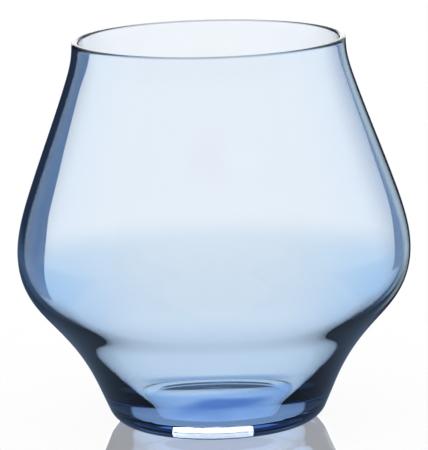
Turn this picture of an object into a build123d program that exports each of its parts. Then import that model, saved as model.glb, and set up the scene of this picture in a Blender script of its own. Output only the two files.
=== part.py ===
from build123d import *
import os

# A stemless wine glass in millimetres: round about Z, standing on z = 0.
# Outside diameters of the bowl, from the mouth down, and where they lie: the neck by its depth
# below the rim, the others by their height
height = 98.0
rim_diameter = 68.8
neck_diameter = 72.3
neck_depth = 10.0
shoulder_diameter = 92.5
shoulder_height = 60.0
belly_diameter = 99.6
belly_height = 44.2
flank_diameter = 83.5
flank_height = 27.0
waist_diameter = 60.8
waist_height = 10.0
foot_diameter = 52.2
foot_round = 6.2

# How far the curve of the wall holds its direction at each end: over 1 is fuller
waist_fullness = 1.23
belly_fullness = 1.38
shoulder_fullness = 0.94
rim_fullness = 1.16

# Thickness of the wall, measured level, at the same heights
rim_wall = 1.6
neck_wall = 1.6
shoulder_wall = 1.7
belly_wall = 1.65
flank_wall = 3.4
waist_wall = 5.0

# Floor inside the bowl, and the hollow under the base that leaves a flat ring to stand on
floor_diameter = 42.6
floor_thickness = 4.2
floor_round = 5.5
punt_diameter = 36.0
punt_depth = 1.2

# Top of the solid base, where the wall of the bowl starts
base_height = 8.0

upright = (0, 1)
level = (1, 0)


def station(diameter, at_height, wall=0.0):
    return Vector(diameter / 2 - wall, at_height)


def wall_line(rim, neck, shoulder, belly, flank, waist, foot):
    # A smooth line up one side of the wall, upright at the belly and at the rim
    lower = Spline(
        waist,
        flank,
        belly,
        tangents=[waist - foot, upright],
        tangent_scalars=[waist_fullness, belly_fullness],
    )
    upper = Spline(
        belly,
        shoulder,
        neck,
        rim,
        tangents=[upright, upright],
        tangent_scalars=[shoulder_fullness, rim_fullness],
    )
    return [lower, upper]


# Half section of the glass, with the radius along X and the height along Y
neck_height = height - neck_depth
lip_height = height - rim_wall / 2
outer_rim = station(rim_diameter, lip_height)
outer_waist = station(waist_diameter, waist_height)
outer_foot = station(foot_diameter, 0)
outer_wall = wall_line(
    outer_rim,
    station(neck_diameter, neck_height),
    station(shoulder_diameter, shoulder_height),
    station(belly_diameter, belly_height),
    station(flank_diameter, flank_height),
    outer_waist,
    outer_foot,
)

inner_rim = station(rim_diameter, lip_height, rim_wall)
inner_waist = station(waist_diameter, waist_height, waist_wall)
inner_foot = station(floor_diameter, floor_thickness)
inner_wall = wall_line(
    inner_rim,
    station(neck_diameter, neck_height, neck_wall),
    station(shoulder_diameter, shoulder_height, shoulder_wall),
    station(belly_diameter, belly_height, belly_wall),
    station(flank_diameter, flank_height, flank_wall),
    inner_waist,
    inner_foot,
)

punt_top = (0, punt_depth)
punt_edge = (punt_diameter / 2, 0)
floor_middle = (0, floor_thickness)
punt = TangentArc(punt_top, punt_edge, tangent=level)
foot = FilletPolyline(punt_edge, outer_foot, outer_waist, radius=foot_round)
lip = TangentArc(outer_rim, inner_rim, tangent=upright)
floor = FilletPolyline(inner_waist, inner_foot, floor_middle, radius=floor_round)
axis = Line(floor_middle, punt_top)
section = make_face([punt, foot, *outer_wall, lip, *inner_wall, floor, axis])
glass = revolve(Plane.XZ * section, Axis.Z)

# The glass is one piece: level cuts part it into its zones, which meet face to face
zone_tops = {
    "base": base_height,
    "lower_bowl": flank_height,
    "belly": belly_height,
    "shoulder": shoulder_height,
    "upper_bowl": neck_height,
}
os.makedirs("parts", exist_ok=True)
for name, top in zone_tops.items():
    cut = Plane.XY.offset(top)
    export_step(split(glass, bisect_by=cut, keep=Keep.BOTTOM), f"parts/{name}.step")
    glass = split(glass, bisect_by=cut, keep=Keep.TOP)
export_step(glass, "parts/rim.step")
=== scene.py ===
import bpy
import math
import numpy as np
from mathutils import Matrix, Vector


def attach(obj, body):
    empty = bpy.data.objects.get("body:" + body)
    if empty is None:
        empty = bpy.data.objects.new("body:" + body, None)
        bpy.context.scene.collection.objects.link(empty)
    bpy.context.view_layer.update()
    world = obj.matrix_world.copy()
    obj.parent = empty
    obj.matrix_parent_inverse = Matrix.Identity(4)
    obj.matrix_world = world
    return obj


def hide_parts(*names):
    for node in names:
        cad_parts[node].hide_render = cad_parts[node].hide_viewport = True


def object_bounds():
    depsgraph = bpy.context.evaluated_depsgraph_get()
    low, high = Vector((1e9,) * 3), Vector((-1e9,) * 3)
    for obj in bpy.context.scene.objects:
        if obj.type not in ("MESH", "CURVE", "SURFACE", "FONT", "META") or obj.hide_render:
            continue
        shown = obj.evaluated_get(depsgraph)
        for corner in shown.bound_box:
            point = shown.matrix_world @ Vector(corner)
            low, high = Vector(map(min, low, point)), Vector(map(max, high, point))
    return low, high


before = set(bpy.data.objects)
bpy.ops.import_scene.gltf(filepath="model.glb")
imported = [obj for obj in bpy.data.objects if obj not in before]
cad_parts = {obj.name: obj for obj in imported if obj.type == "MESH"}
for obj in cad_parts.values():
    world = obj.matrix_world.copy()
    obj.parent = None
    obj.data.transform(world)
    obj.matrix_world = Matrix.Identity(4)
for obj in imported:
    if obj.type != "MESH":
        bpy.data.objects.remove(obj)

cadLow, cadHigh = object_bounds()
mm = 0.001
white = (1.0, 1.0, 1.0)


# small helpers for node trees
def wire(tree, socket, value):
    # a number, a colour or another node's output into a socket
    if isinstance(value, bpy.types.NodeSocket):
        tree.links.new(value, socket)
    elif socket.type == "RGBA":
        socket.default_value = (*value, 1)
    else:
        socket.default_value = value


def calc(tree, operation, *values):
    node = tree.nodes.new("ShaderNodeMath")
    node.operation = operation
    for socket, value in zip(node.inputs, values):
        wire(tree, socket, value)
    return node.outputs[0]


def inverse(tree, share):
    return calc(tree, "SUBTRACT", 1.0, share)


def fade(tree, value, ends, unit=1.0):
    # 0 before the first end, 1 past the second, and a soft step between
    node = tree.nodes.new("ShaderNodeMapRange")
    node.interpolation_type = "SMOOTHSTEP"
    wire(tree, node.inputs["Value"], value)
    node.inputs["From Min"].default_value = ends[0] * unit
    node.inputs["From Max"].default_value = ends[1] * unit
    return node.outputs["Result"]


def blend(tree, share, first, last):
    node = tree.nodes.new("ShaderNodeMix")
    node.data_type = "RGBA"
    wire(tree, node.inputs[0], share)
    wire(tree, node.inputs[6], first)  # 6, 7 and 2 are the colour sockets
    wire(tree, node.inputs[7], last)
    return node.outputs[2]


def axes(tree, vector):
    node = tree.nodes.new("ShaderNodeSeparateXYZ")
    tree.links.new(vector, node.inputs["Vector"])
    return node.outputs


def vectorMath(tree, operation, vector):
    node = tree.nodes.new("ShaderNodeVectorMath")
    node.operation = operation
    tree.links.new(vector, node.inputs[0])
    return node.outputs


def distance(tree, place):
    return vectorMath(tree, "LENGTH", place)["Value"]


def objectPlace(tree):
    return tree.nodes.new("ShaderNodeTexCoord").outputs["Object"]


def noise(tree, socket, place, scale, detail):
    node = tree.nodes.new("ShaderNodeTexNoise")
    node.noise_dimensions = "1D" if socket == "W" else "3D"
    node.inputs["Scale"].default_value = scale
    node.inputs["Detail"].default_value = detail
    tree.links.new(place, node.inputs[socket])
    return node.outputs["Fac"]


# the glass, in millimetres: the half section that is turned about Z
glassSizes = {
    "height": 98.0,
    "rim": 68.8, "rimWall": 1.6,
    "neck": 72.3, "neckHeight": 88.0, "neckWall": 1.6,
    "shoulder": 92.5, "shoulderHeight": 60.0, "shoulderWall": 1.7,
    "belly": 99.6, "bellyHeight": 44.2, "bellyWall": 1.65,
    "flank": 83.5, "flankHeight": 27.0, "flankWall": 3.4,
    "waist": 60.8, "waistHeight": 10.0, "waistWall": 5.0,
    "foot": 52.2, "footRound": 6.2,
    "floor": 42.6, "floorThickness": 4.2, "floorRound": 5.5,
    "punt": 36.0, "puntDepth": 1.2,
    "waistFullness": 1.23, "bellyFullness": 1.38,  # how far the wall holds its direction at each end
    "shoulderFullness": 0.94, "rimFullness": 1.16,
    "turns": 216,  # steps round the glass
    "steps": {  # points along each run of the half section
        "punt": 24, "ring": 6, "footRound": 26, "footRun": 8, "lowerWall": 70, "upperWall": 90,
        "lip": 22, "floorRun": 6, "floorRound": 26, "floor": 16,
    },
    "weld": 0.001,  # closes the seam and the poles
}


def smoothLine(points, startWay, endWay, steps):
    # a cubic through the points, held to a direction at both ends
    p = np.array(points, float)
    gaps = np.hypot(*np.diff(p, axis=0).T)
    count = len(p)
    rows = np.zeros((count, count))
    right = np.zeros((count, 2))
    rows[0, 0] = rows[-1, -1] = 1.0
    right[0], right[-1] = startWay, endWay
    for i in range(1, count - 1):
        before, after = gaps[i - 1], gaps[i]
        rows[i, i - 1:i + 2] = after, 2 * (before + after), before
        right[i] = 3 * (after * (p[i] - p[i - 1]) / before + before * (p[i + 1] - p[i]) / after)
    ways = np.linalg.solve(rows, right)
    line = []
    for i, gap in enumerate(gaps):
        share = round(steps * gap / gaps.sum())
        for t in np.arange(share) / share:
            a, b = (1 + 2 * t) * (1 - t) ** 2, t * (1 - t) ** 2
            c, d = t * t * (3 - 2 * t), t * t * (t - 1)
            line.append(a * p[i] + b * gap * ways[i] + c * p[i + 1] + d * gap * ways[i + 1])
    line.append(p[-1])
    return line


def roundCorner(start, corner, end, radius, steps):
    # the arc that rounds a corner between two straight runs
    start, corner, end = (np.array(q, float) for q in (start, corner, end))
    wayIn = (start - corner) / np.linalg.norm(start - corner)
    wayOut = (end - corner) / np.linalg.norm(end - corner)
    half = math.acos(np.clip(wayIn @ wayOut, -1, 1)) / 2
    middle = (wayIn + wayOut) / np.linalg.norm(wayIn + wayOut)
    centre = corner + middle * radius / math.sin(half)
    first = corner + wayIn * radius / math.tan(half) - centre
    last = corner + wayOut * radius / math.tan(half) - centre
    spread = math.acos(np.clip(first @ last / radius ** 2, -1, 1))
    return [centre + (math.sin((1 - t) * spread) * first + math.sin(t * spread) * last) / math.sin(spread)
            for t in np.linspace(0, 1, steps)]


def straight(start, end, steps):
    start, end = np.array(start, float), np.array(end, float)
    return [start + (end - start) * t for t in np.linspace(0, 1, steps)]


def wallLine(s, inside):
    # one side of the wall from waist to rim, and the corner below it
    def at(name, height):
        return (s[name] / 2 - (s[name + "Wall"] if inside else 0), height)

    waist = np.array(at("waist", s["waistHeight"]))
    belly = at("belly", s["bellyHeight"])
    rim = at("rim", s["height"] - s["rimWall"] / 2)
    corner = np.array((s["floor"] / 2, s["floorThickness"]) if inside else (s["foot"] / 2, 0))
    rise = (waist - corner) / np.linalg.norm(waist - corner)
    up = np.array((0.0, 1.0))
    lower = smoothLine([waist, at("flank", s["flankHeight"]), belly],
                       rise * s["waistFullness"], up * s["bellyFullness"], s["steps"]["lowerWall"])
    upper = smoothLine([belly, at("shoulder", s["shoulderHeight"]), at("neck", s["neckHeight"]), rim],
                       up * s["shoulderFullness"], up * s["rimFullness"], s["steps"]["upperWall"])
    return lower + upper[1:], corner


def halfSection(s):
    steps = s["steps"]
    outer, footCorner = wallLine(s, False)
    inner, floorCorner = wallLine(s, True)
    floorMiddle = (0, s["floorThickness"])
    puntEdge = s["punt"] / 2
    puntRadius = (puntEdge ** 2 + s["puntDepth"] ** 2) / (2 * s["puntDepth"])
    puntTurn = math.asin(puntEdge / puntRadius)
    punt = [(puntRadius * math.sin(a), s["puntDepth"] - puntRadius * (1 - math.cos(a)))
            for a in np.linspace(0, puntTurn, steps["punt"])]
    footEdge = roundCorner((puntEdge, 0), footCorner, outer[0], s["footRound"], steps["footRound"])
    ring = straight(punt[-1], footEdge[0], steps["ring"])
    footRun = straight(footEdge[-1], outer[0], steps["footRun"])
    half = s["rimWall"] / 2
    lip = [(outer[-1][0] - half + half * math.cos(a), outer[-1][1] + half * math.sin(a))
           for a in np.linspace(0, math.pi, steps["lip"])]
    floorEdge = roundCorner(inner[0], floorCorner, floorMiddle, s["floorRound"], steps["floorRound"])
    floorRun = straight(inner[0], floorEdge[0], steps["floorRun"])
    floor = straight(floorEdge[-1], floorMiddle, steps["floor"])
    line = list(punt)
    for run in (ring, footEdge, footRun, outer, lip, inner[::-1], floorRun, floorEdge, floor):
        line += list(run)[1:]  # each run starts where the last one ends
    return line


def turnedTree(material, weld):
    # Geometry Nodes: a grid of rings, each vertex put on the half section and turned about Z
    tree = bpy.data.node_groups.new("turnedAboutZ", "GeometryNodeTree")
    sockets = tree.interface
    sockets.new_socket("Half section", in_out="INPUT", socket_type="NodeSocketGeometry")
    turnsIn = sockets.new_socket("Turns", in_out="INPUT", socket_type="NodeSocketInt")
    pointsIn = sockets.new_socket("Points", in_out="INPUT", socket_type="NodeSocketInt")
    sockets.new_socket("Turned", in_out="OUTPUT", socket_type="NodeSocketGeometry")
    nodes, links = tree.nodes, tree.links
    given = nodes.new("NodeGroupInput").outputs
    turns, points = given["Turns"], given["Points"]

    grid = nodes.new("GeometryNodeMeshGrid")
    links.new(calc(tree, "ADD", turns, 1.0), grid.inputs["Vertices X"])
    links.new(points, grid.inputs["Vertices Y"])
    index = nodes.new("GeometryNodeInputIndex").outputs["Index"]
    column = calc(tree, "FLOOR", calc(tree, "DIVIDE", index, points))
    row = calc(tree, "SUBTRACT", index, calc(tree, "MULTIPLY", column, points))
    angle = calc(tree, "DIVIDE", calc(tree, "MULTIPLY", column, 2 * math.pi), turns)

    sample = nodes.new("GeometryNodeSampleIndex")
    sample.data_type = "FLOAT_VECTOR"
    links.new(given["Half section"], sample.inputs["Geometry"])
    links.new(nodes.new("GeometryNodeInputPosition").outputs["Position"], sample.inputs["Value"])
    links.new(row, sample.inputs["Index"])
    turn = nodes.new("ShaderNodeVectorRotate")
    turn.rotation_type = "Z_AXIS"
    links.new(sample.outputs["Value"], turn.inputs["Vector"])
    links.new(angle, turn.inputs["Angle"])

    put = nodes.new("GeometryNodeSetPosition")
    links.new(turn.outputs["Vector"], put.inputs["Position"])
    close = nodes.new("GeometryNodeMergeByDistance")
    close.inputs["Distance"].default_value = weld
    smooth = nodes.new("GeometryNodeSetShadeSmooth")
    whole = nodes.new("GeometryNodeRealizeInstances")
    dress = nodes.new("GeometryNodeSetMaterial")
    dress.inputs["Material"].default_value = material
    made = grid.outputs["Mesh"]
    for step in (put, close, smooth, whole, dress):
        links.new(made, step.inputs["Geometry"])
        made = step.outputs["Geometry"]
    links.new(made, nodes.new("NodeGroupOutput").inputs["Turned"])
    return tree, turnsIn.identifier, pointsIn.identifier


glassLook = {
    "ior": 1.5,
    "tint": (0.0625, 0.425, 0.7875),  # what a long way through the glass leaves
    "density": 60.0,  # per metre
    "ripple": 0.05, "rippleDepth": 1.0,  # strength and depth in millimetres of the faint waves left by blowing
    "dimpleScale": 34.0,  # per metre
    "bandScale": 60.0,  # per metre of height
    "waveDetail": 1.0,
    "lipPaintedShade": (0.36, 0.40, 0.48), "lipShadeFrom": (97.5, 97.75),  # painted shade: the crown of the lip darker, standing in for the dark rim line, from this height in millimetres
}


def rippleGroup(look):
    # height of the faint waves: broad dimples, and soft level bands round the glass
    group = bpy.data.node_groups.new("blownWaves", "ShaderNodeTree")
    group.interface.new_socket("Height", in_out="OUTPUT", socket_type="NodeSocketFloat")
    place = objectPlace(group)
    dimples = noise(group, "Vector", place, look["dimpleScale"], look["waveDetail"])
    bands = noise(group, "W", axes(group, place)["Z"], look["bandScale"], look["waveDetail"])
    out = group.nodes.new("NodeGroupOutput")
    group.links.new(calc(group, "ADD", dimples, bands), out.inputs["Height"])
    return group


def paleBlueGlass(look):
    material = bpy.data.materials.new("paleBlueGlass")
    material.use_nodes = True
    tree = material.node_tree
    nodes, links = tree.nodes, tree.links
    shader = nodes["Principled BSDF"]
    # painted shade: the base colour darkens towards the crown of the lip
    lip = fade(tree, axes(tree, objectPlace(tree))["Z"], look["lipShadeFrom"], mm)
    links.new(blend(tree, lip, white, look["lipPaintedShade"]), shader.inputs["Base Color"])
    shader.inputs["Roughness"].default_value = 0.0
    shader.inputs["IOR"].default_value = look["ior"]
    shader.inputs["Transmission Weight"].default_value = 1.0
    waves = nodes.new("ShaderNodeGroup")
    waves.node_tree = rippleGroup(look)
    bump = nodes.new("ShaderNodeBump")
    bump.inputs["Strength"].default_value = look["ripple"]
    bump.inputs["Distance"].default_value = look["rippleDepth"] * mm
    links.new(waves.outputs["Height"], bump.inputs["Height"])
    links.new(bump.outputs["Normal"], shader.inputs["Normal"])
    inside = nodes.new("ShaderNodeVolumeAbsorption")
    inside.inputs["Color"].default_value = (*look["tint"], 1)
    inside.inputs["Density"].default_value = look["density"]
    links.new(inside.outputs["Volume"], nodes["Material Output"].inputs["Volume"])
    return material


def makeGlass(s, material):
    points = [(r * mm, 0, z * mm) for r, z in halfSection(s)]
    profile = bpy.data.meshes.new("halfSection")
    profile.from_pydata(points, [(i, i + 1) for i in range(len(points) - 1)], [])
    turned = bpy.data.objects.new("turnedGlass", profile)
    bpy.context.scene.collection.objects.link(turned)
    tree, turnsSocket, pointsSocket = turnedTree(material, s["weld"] * mm)
    modifier = turned.modifiers.new("turn", "NODES")
    modifier.node_group = tree
    modifier[turnsSocket] = s["turns"]
    modifier[pointsSocket] = len(points)
    bpy.context.view_layer.update()
    mesh = bpy.data.meshes.new_from_object(turned.evaluated_get(bpy.context.evaluated_depsgraph_get()))
    bpy.data.objects.remove(turned)
    mesh.name = "wineGlass"
    glass = bpy.data.objects.new("wine_glass", mesh)
    bpy.context.scene.collection.objects.link(glass)
    print("glass:", len(mesh.vertices), "vertices,", len(points), "points in the half section")
    return glass


glassMaterial = paleBlueGlass(glassLook)
wineGlass = makeGlass(glassSizes, glassMaterial)
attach(wineGlass, "root")
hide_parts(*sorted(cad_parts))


# stage: a white room with a glossy white table, and painted shade and painted reflections: darker tones that only
# light from the glass sees.
# Light is told apart by its way so far; depths are counts, so each limit lies halfway between two of them
through = [("Transmission Depth", "GREATER_THAN", 2.5)]  # through the wall of the bowl
throughPlain = through + [("Glossy Depth", "LESS_THAN", 0.5)]
throughMirrored = through + [("Glossy Depth", "GREATER_THAN", 0.5), ("Glossy Depth", "LESS_THAN", 1.5)]
offGlass = [("Transmission Depth", "LESS_THAN", 2.5), ("Glossy Depth", "GREATER_THAN", 0.5),
            ("Is Singular Ray", "GREATER_THAN", 0.5)]  # mirrored by the glass, outside or within its wall
unbent = [("Transmission Depth", "LESS_THAN", 0.5)]
paintedReflectionTone = (0.50, 0.68, 0.92)  # painted reflection: one tone for table and room, for light that the bowl has let in and mirrored once


def rayTest(tree, tests):
    # 1 for light that has come the way the tests ask, else 0
    path = tree.nodes.new("ShaderNodeLightPath")
    passed = 1.0
    for name, operation, limit in tests:
        passed = calc(tree, "MULTIPLY", passed, calc(tree, operation, path.outputs[name], limit))
    return passed


def glowMaterial(name, tone, strength=1.0, tests=(), oneSided=False):
    # a card of some tone, clear for light that fails the tests and, where one-sided, from behind
    material = bpy.data.materials.new(name)
    material.use_nodes = True
    tree = material.node_tree
    tree.nodes.remove(tree.nodes["Principled BSDF"])
    glow = tree.nodes.new("ShaderNodeEmission")
    wire(tree, glow.inputs["Color"], tone(tree) if callable(tone) else tone)
    glow.inputs["Strength"].default_value = strength
    shown = rayTest(tree, tests)
    if oneSided:
        behind = tree.nodes.new("ShaderNodeNewGeometry").outputs["Backfacing"]
        shown = calc(tree, "MULTIPLY", shown, inverse(tree, behind))
    clear = tree.nodes.new("ShaderNodeBsdfTransparent")
    mix = tree.nodes.new("ShaderNodeMixShader")
    wire(tree, mix.inputs["Fac"], shown)
    tree.links.new(clear.outputs[0], mix.inputs[1])
    tree.links.new(glow.outputs[0], mix.inputs[2])
    tree.links.new(mix.outputs[0], tree.nodes["Material Output"].inputs["Surface"])
    return material


def stageMesh(name, points, faces, material, seenBy):
    mesh = bpy.data.meshes.new(name)
    mesh.from_pydata([tuple(c * mm for c in point) for point in points], [], faces)
    mesh.materials.append(material)
    card = bpy.data.objects.new(name, mesh)
    bpy.context.scene.collection.objects.link(card)
    for kind in ("camera", "diffuse", "glossy", "transmission", "shadow"):
        setattr(card, "visible_" + kind, kind in seenBy)


def flatCard(name, corners, material, seenBy):
    stageMesh(name, corners, [tuple(range(len(corners)))], material, seenBy)


def ringCard(name, radii, height, material, seenBy, steps=96):
    turns = [2 * math.pi * i / steps for i in range(steps)]
    points = [(r * math.cos(a), r * math.sin(a), height) for r in radii for a in turns]
    faces = [(i, steps + i, steps + (i + 1) % steps, (i + 1) % steps) for i in range(steps)]
    stageMesh(name, points, faces, material, seenBy)


# the table, in millimetres
tableLook = {
    "half": 1500.0, "height": -0.05,
    "shine": 0.64, "roughness": 0.03,
    "glow": 0.75,  # share of the matt white that shadow does not reach
}


def tableMaterial(look):
    material = bpy.data.materials.new("whiteTable")
    material.use_nodes = True
    nodes, links = material.node_tree.nodes, material.node_tree.links
    nodes.remove(nodes["Principled BSDF"])
    matt = nodes.new("ShaderNodeBsdfDiffuse")
    matt.inputs["Color"].default_value = (*white, 1)
    glow = nodes.new("ShaderNodeEmission")
    gloss = nodes.new("ShaderNodeBsdfGlossy")
    gloss.inputs["Color"].default_value = (*white, 1)
    gloss.inputs["Roughness"].default_value = look["roughness"]
    body = nodes.new("ShaderNodeMixShader")
    body.inputs["Fac"].default_value = look["glow"]
    links.new(matt.outputs[0], body.inputs[1])
    links.new(glow.outputs[0], body.inputs[2])
    both = nodes.new("ShaderNodeMixShader")
    both.inputs["Fac"].default_value = look["shine"]
    links.new(body.outputs[0], both.inputs[1])
    links.new(gloss.outputs[0], both.inputs[2])
    links.new(both.outputs[0], nodes["Material Output"].inputs["Surface"])
    return material


def makeTable(look):
    half = look["half"]
    corners = [(x, y, look["height"]) for x, y in ((-half, -half), (half, -half), (half, half), (-half, half))]
    flatCard("table", corners, tableMaterial(look), ("camera", "diffuse", "glossy", "transmission", "shadow"))
    print("table: in place")


# painted shade: a sheet seen only through the bowl in place of the white table, darker and bluer, with a painted
# shadow behind the foot; in millimetres from the middle of the glass
bowlShadeLook = {
    "radii": (0.01, tableLook["half"]), "height": -0.04,
    "near": (0.89, 0.955, 1.0), "nearEnd": (55.0, 110.0),
    "middle": (0.80, 0.865, 0.915), "middleEnd": (185.0, 290.0),  # white from there
    "side": (0.58, 0.76, 0.93), "sideStart": (20.0, 54.0), "sideEnd": (110.0, 270.0),  # bluer left and right
    "shade": (0.40, 0.55, 0.75), "shadeEnd": (27.0, 35.5),  # painted shadow of the foot, thin and soft, just behind it
    "shadeBack": (10.0, 20.0), "shadeSide": (14.0, 30.0),
}


def paintedBowlShade(tree, look):
    # painted shade: pale near the foot, bluer at the sides, a painted shadow behind the foot and white far out
    place = objectPlace(tree)
    parts = axes(tree, place)
    reach = distance(tree, place)
    across = calc(tree, "ABSOLUTE", parts["X"])
    tone = blend(tree, fade(tree, reach, look["nearEnd"], mm), look["near"], look["middle"])
    side = calc(tree, "MULTIPLY", fade(tree, across, look["sideStart"], mm),
                inverse(tree, fade(tree, reach, look["sideEnd"], mm)))
    tone = blend(tree, side, tone, look["side"])
    shade = fade(tree, parts["Y"], look["shadeBack"], mm)
    for value, ends in ((reach, look["shadeEnd"]), (across, look["shadeSide"])):
        shade = calc(tree, "MULTIPLY", shade, inverse(tree, fade(tree, value, ends, mm)))
    tone = blend(tree, shade, tone, look["shade"])
    tone = blend(tree, fade(tree, reach, look["middleEnd"], mm), tone, white)
    return blend(tree, rayTest(tree, throughMirrored), tone, paintedReflectionTone)


# the light that pools under the base, in millimetres
poolLook = {
    "radii": (0.01, 22.0), "height": -0.02,
    "pale": (0.42, 0.64, 1.0),
    "deep": (0.06, 0.20, 0.66), "deepMiddle": (1.5, -7.5), "deepHalf": (13.0, 7.0), "deepTurn": 8.0,
    "deepEdge": (0.8, 1.8), "waveScale": 1.0, "waveDetail": 0.0,  # in shares of deepHalf
    "back": (0.9, 1.05, 1.15), "backStart": (0.0, 9.0), "backSlant": -0.25,
}


def poolTone(tree, look):
    # for light through the wall, deep blue towards the front with a wavy edge and paler at the back
    place = objectPlace(tree)
    parts = axes(tree, place)
    seen = rayTest(tree, through)
    shift = tree.nodes.new("ShaderNodeMapping")
    shift.vector_type = "TEXTURE"
    shift.inputs["Location"].default_value = (*(c * mm for c in look["deepMiddle"]), 0)
    shift.inputs["Rotation"].default_value = (0, 0, math.radians(look["deepTurn"]))
    shift.inputs["Scale"].default_value = (*(c * mm for c in look["deepHalf"]), 1)
    tree.links.new(place, shift.inputs["Vector"])
    shifted = shift.outputs["Vector"]
    waves = noise(tree, "Vector", shifted, look["waveScale"], look["waveDetail"])
    reach = calc(tree, "ADD", distance(tree, shifted), waves)
    deep = calc(tree, "MULTIPLY", seen, inverse(tree, fade(tree, reach, look["deepEdge"])))
    tone = blend(tree, deep, look["pale"], look["deep"])
    slant = calc(tree, "MULTIPLY_ADD", parts["X"], look["backSlant"], parts["Y"])
    back = calc(tree, "MULTIPLY", seen, fade(tree, slant, look["backStart"], mm))
    return blend(tree, back, tone, look["back"])


# painted shade seen through the bowl, and the painted pool of light under the base
def makePaintedShadeAndPool(bowl, pool):
    ringCard("bowlShadeCard", bowl["radii"], bowl["height"],
             glowMaterial("bowlShadeGlow", lambda tree: paintedBowlShade(tree, bowl), tests=through), ("transmission",))
    ringCard("poolCard", pool["radii"], pool["height"],
             glowMaterial("bluePool", lambda tree: poolTone(tree, pool)), ("transmission",))
    print("table tones: through the bowl and under the base")


# painted reflection: the room as only the glass mirrors it, dark and blue; places are parts of a direction's
# length, from left to right, ahead and up
roomLook = {
    "left": (0.02, 0.035, 0.07), "leftNear": (0.06, 0.105, 0.19),
    "side": (0.12, 0.36, 0.75), "sideFar": (0.6, 0.78, 0.98), "nearReach": (220.0, 450.0),  # millimetres
    "right": ((0.0, (0.05, 0.13, 0.29)), (0.825, (0.05, 0.13, 0.29)), (0.855, (0.45, 0.57, 0.65)),
              (0.935, (0.45, 0.57, 0.65)), (0.955, (0.02, 0.03, 0.06))),  # by how far ahead
    "middle": (-0.05, 0.05), "backStart": (0.25, 0.65),
    "front": (0.45, 0.60, 0.80), "frontEnd": (-0.5, -0.4),
    "skyStart": (0.1, 0.7),  # how high the white begins
    "dark": (0.03, 0.05, 0.10), "darkBack": (0.45, 0.65), "darkFrom": (0.12, 0.22),
    "darkRise": 0.25,  # the white begins higher there
    "strip": (2.0, 2.0, 2.0), "stripHalf": (0.22, 0.34), "stripTop": (0.2, 0.35),  # painted highlight: a low bright strip behind, seen only as the outer surface mirrors it, for the lip
}


def roomGroup(look):
    # painted reflection: tone of the room in a direction, dark behind, blue at the sides, pale in front
    group = bpy.data.node_groups.new("roomTones", "ShaderNodeTree")
    group.interface.new_socket("Way", in_out="INPUT", socket_type="NodeSocketVector")
    group.interface.new_socket("Tone", in_out="OUTPUT", socket_type="NodeSocketColor")
    way = group.nodes.new("NodeGroupInput").outputs["Way"]
    unit = axes(group, vectorMath(group, "NORMALIZE", way)["Vector"])
    across, ahead = unit["X"], unit["Y"]
    right = group.nodes.new("ShaderNodeValToRGB")
    group.links.new(ahead, right.inputs["Fac"])
    stops = right.color_ramp.elements
    for i, (place, tone) in enumerate(look["right"]):
        stop = stops[i] if i < len(stops) else stops.new(place)
        stop.position, stop.color = place, (*tone, 1)
    reach = fade(group, distance(group, way), look["nearReach"], mm)
    left = blend(group, reach, look["leftNear"], look["left"])
    back = blend(group, fade(group, across, look["middle"]), left, right.outputs["Color"])
    side = blend(group, reach, look["side"], look["sideFar"])
    sides = blend(group, fade(group, ahead, look["backStart"]), side, back)
    tone = blend(group, fade(group, ahead, look["frontEnd"]), look["front"], sides)
    group.links.new(tone, group.nodes.new("NodeGroupOutput").inputs["Tone"])
    return group


def roomTone(tree, group, way):
    node = tree.nodes.new("ShaderNodeGroup")
    node.node_tree = group
    tree.links.new(way, node.inputs["Way"])
    return node.outputs["Tone"]


def makeWorld(look, group):
    world = bpy.data.worlds.new("softRoom")
    bpy.context.scene.world = world
    world.use_nodes = True
    tree = world.node_tree
    way = tree.nodes.new("ShaderNodeTexCoord").outputs["Generated"]
    parts = axes(tree, way)
    outside = rayTest(tree, unbent)
    dark = inverse(tree, outside)
    for axis, ends in (("Y", look["darkBack"]), ("Z", look["darkFrom"])):
        dark = calc(tree, "MULTIPLY", dark, fade(tree, parts[axis], ends))
    height = calc(tree, "SUBTRACT", parts["Z"], calc(tree, "MULTIPLY", dark, look["darkRise"]))
    walls = blend(tree, dark, roomTone(tree, group, way), look["dark"])
    sky = blend(tree, fade(tree, height, look["skyStart"]), walls, white)
    strip = calc(tree, "MULTIPLY", outside, calc(tree, "GREATER_THAN", parts["Y"], 0.0))
    for axis, ends in (("X", look["stripHalf"]), ("Z", look["stripTop"])):
        off = fade(tree, calc(tree, "ABSOLUTE", parts[axis]), ends)
        strip = calc(tree, "MULTIPLY", strip, inverse(tree, off))
    sky = blend(tree, strip, sky, look["strip"])
    # painted reflection: only light that the glass has mirrored sees the room's tones and the strip; all other
    # light sees white
    sky = blend(tree, rayTest(tree, offGlass), white, sky)
    sky = blend(tree, rayTest(tree, throughMirrored), sky, paintedReflectionTone)
    tree.links.new(sky, tree.nodes["Background"].inputs["Color"])
    tree.nodes["Background"].inputs["Strength"].default_value = 1.0
    print("room: white, with tones for the glass")


# painted reflection: a dark sheet round the foot in place of the white table, seen only in light the glass has
# mirrored, in millimetres
footReflectionLook = {
    "radii": (12.0, 2200.0), "height": -0.01,
    "tone": (0.03, 0.04, 0.07), "pale": (0.28, 0.38, 0.55), "paleFront": (-9.5, -7.5),  # paler before the foot
    "gloss": (0.13, 0.19, 0.29),  # as the outer surface mirrors it
    "fadeOut": (60.0, 100.0),  # the tones of the room from there
    "roomHalf": 48.0,  # which go by the way from the side of the glass
}


# painted reflection: dark round the foot, paler in front of it
def footPaintedReflection(tree, look):
    front = fade(tree, axes(tree, objectPlace(tree))["Y"], look["paleFront"], mm)
    return blend(tree, front, look["pale"], look["tone"])


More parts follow.
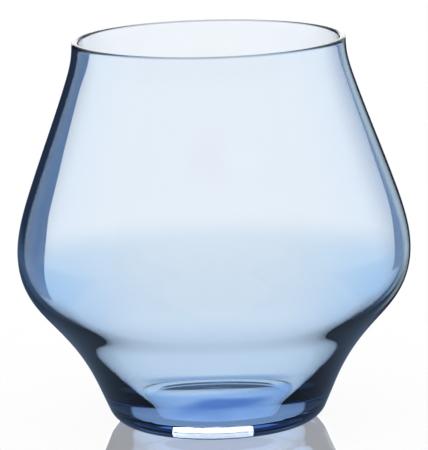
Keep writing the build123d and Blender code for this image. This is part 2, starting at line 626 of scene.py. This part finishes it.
def intoRoom(tree, look, group, tone):
    # the tone near the foot, and the tones of the room further out
    place = objectPlace(tree)
    parts = axes(tree, place)
    limit = look["roomHalf"] * mm
    within = calc(tree, "MINIMUM", calc(tree, "MAXIMUM", parts["X"], -limit), limit)
    way = tree.nodes.new("ShaderNodeCombineXYZ")
    tree.links.new(calc(tree, "SUBTRACT", parts["X"], within), way.inputs["X"])
    tree.links.new(parts["Y"], way.inputs["Y"])
    away = fade(tree, distance(tree, place), look["fadeOut"], mm)
    return blend(tree, away, tone, roomTone(tree, group, way.outputs["Vector"]))


def makeFootCards(look, group):
    def bentTone(tree):
        return intoRoom(tree, look, group, footPaintedReflection(tree, look))

    def glossTone(tree):
        return intoRoom(tree, look, group, look["gloss"])

    ringCard("footCard", look["radii"], look["height"],
             glowMaterial("footPaintedReflection", bentTone, tests=offGlass, oneSided=True), ("transmission",))
    ringCard("footGlossCard", look["radii"], look["height"],
             glowMaterial("footGloss", glossTone, tests=offGlass, oneSided=True), ("glossy",))
    print("foot: tones round it")


# painted shade: dark standing cards behind the glass, seen only through it, for the dark bands at its sides, in
# millimetres
sideCards = {
    "left": {
        "behind": 70.0, "tone": (0.04, 0.12, 0.30),
        "outline": ((-54.5, 0), (-54, 9), (-52, 28), (-50.5, 42), (-48, 53), (-45.5, 67), (-43.5, 78), (-41, 84),
                    (-34, 115), (-110, 115), (-110, 0)),
    },
    "right": {
        "behind": 120.0, "tone": (0.10, 0.17, 0.30),
        "outline": ((68.5, 0), (95, 0), (90, 110), (68.5, 110)),
    },
}


def makeSideCards(cards):
    for name, card in cards.items():
        flatCard(name + "Card", [(x, card["behind"], z) for x, z in card["outline"]],
                 glowMaterial(name + "Tone", card["tone"], tests=throughPlain), ("transmission",))
    print("side cards:", len(cards))


# painted highlight: glowing strips lying just in front of the foot, seen only as its outer surface mirrors them
# from near, in millimetres and degrees
footHighlightLook = {
    "turn": (-28.0, 20.5), "steps": 12, "height": -0.005,
    "reach": 5.2,  # seen only from this near
    "strips": (
        {"radii": (24.4, 27.35), "glow": (4.5, 16.0), "tone": (0.70, 0.82, 1.0)},  # from inner to outer edge
        {"radii": (27.55, 30.5), "glow": (22.0, 22.0), "tone": white},
    ),
}


# painted highlight: cards that glow only in the foot's mirrored light and light nothing
def makeFootHighlights(look):
    turns = np.radians(np.linspace(*look["turn"], look["steps"]))
    once = [("Is Singular Ray", "GREATER_THAN", 0.5), ("Glossy Depth", "LESS_THAN", 1.5),
            ("Ray Length", "LESS_THAN", look["reach"] * mm)]
    for strip in look["strips"]:
        inner, outer = ([(r * math.sin(a), -r * math.cos(a), look["height"]) for a in turns]
                        for r in strip["radii"])
        low, high = strip["glow"]
        dim = tuple(c * low / high for c in strip["tone"])

        def footHighlightTone(tree):
            across = fade(tree, distance(tree, objectPlace(tree)), strip["radii"], mm)
            return blend(tree, across, dim, strip["tone"])

        flatCard("footHighlightCard", outer + inner[::-1], glowMaterial("footHighlightGlow", footHighlightTone, high, once, oneSided=True),
                 ("glossy",))
    print("painted_highlights:", len(look["strips"]), "strips")


roomTones = roomGroup(roomLook)
makeTable(tableLook)
makePaintedShadeAndPool(bowlShadeLook, poolLook)
makeFootCards(footReflectionLook, roomTones)
makeSideCards(sideCards)
makeFootHighlights(footHighlightLook)
makeWorld(roomLook, roomTones)


# camera: the photograph's viewing angle, with the image taken as 428 x 450
view = {
    "imageHeight": 450.0,
    "sensor": 36.0,
    "focalPixels": 3428.6,
    "distance": 868.7,  # millimetres from the middle of the glass
    "elevation": 11.178,
    "roll": 1.538,
    "middle": (213.45, 229.38),  # pixel of the middle of the glass
    "frameMiddle": (214.0, 225.0),
    "clipStart": 10.0,
}


def makeCamera(v, middleHeight):
    data = bpy.data.cameras.new("photoCamera")
    data.sensor_width = v["sensor"]
    data.lens = v["focalPixels"] * v["sensor"] / v["imageHeight"]
    data.shift_x = (v["frameMiddle"][0] - v["middle"][0]) / v["imageHeight"]
    data.shift_y = (v["middle"][1] - v["frameMiddle"][1]) / v["imageHeight"]
    data.clip_start = v["clipStart"] * mm
    camera = bpy.data.objects.new("photoCamera", data)
    rise = math.radians(v["elevation"])
    target = Vector((0, 0, middleHeight))
    place = target + Vector((0, -math.cos(rise), math.sin(rise))) * v["distance"] * mm
    aim = (target - place).to_track_quat("-Z", "Y").to_matrix().to_4x4()
    lean = Matrix.Rotation(math.radians(-v["roll"]), 4, "Z")
    camera.matrix_world = Matrix.Translation(place) @ aim @ lean
    bpy.context.scene.collection.objects.link(camera)
    bpy.context.scene.camera = camera
    print("camera: lens", round(data.lens, 1), "mm")


makeCamera(view, (cadLow.z + cadHigh.z) / 2)

scene = bpy.context.scene
scene.view_settings.view_transform = "Standard"
# light passes many times through the base, but light that it only mirrors round and round is cut short
bounces = {"max": 32, "transmission": 32, "transparent_max": 32, "glossy": 4}
for kind, count in bounces.items():
    setattr(scene.cycles, kind + "_bounces", count)
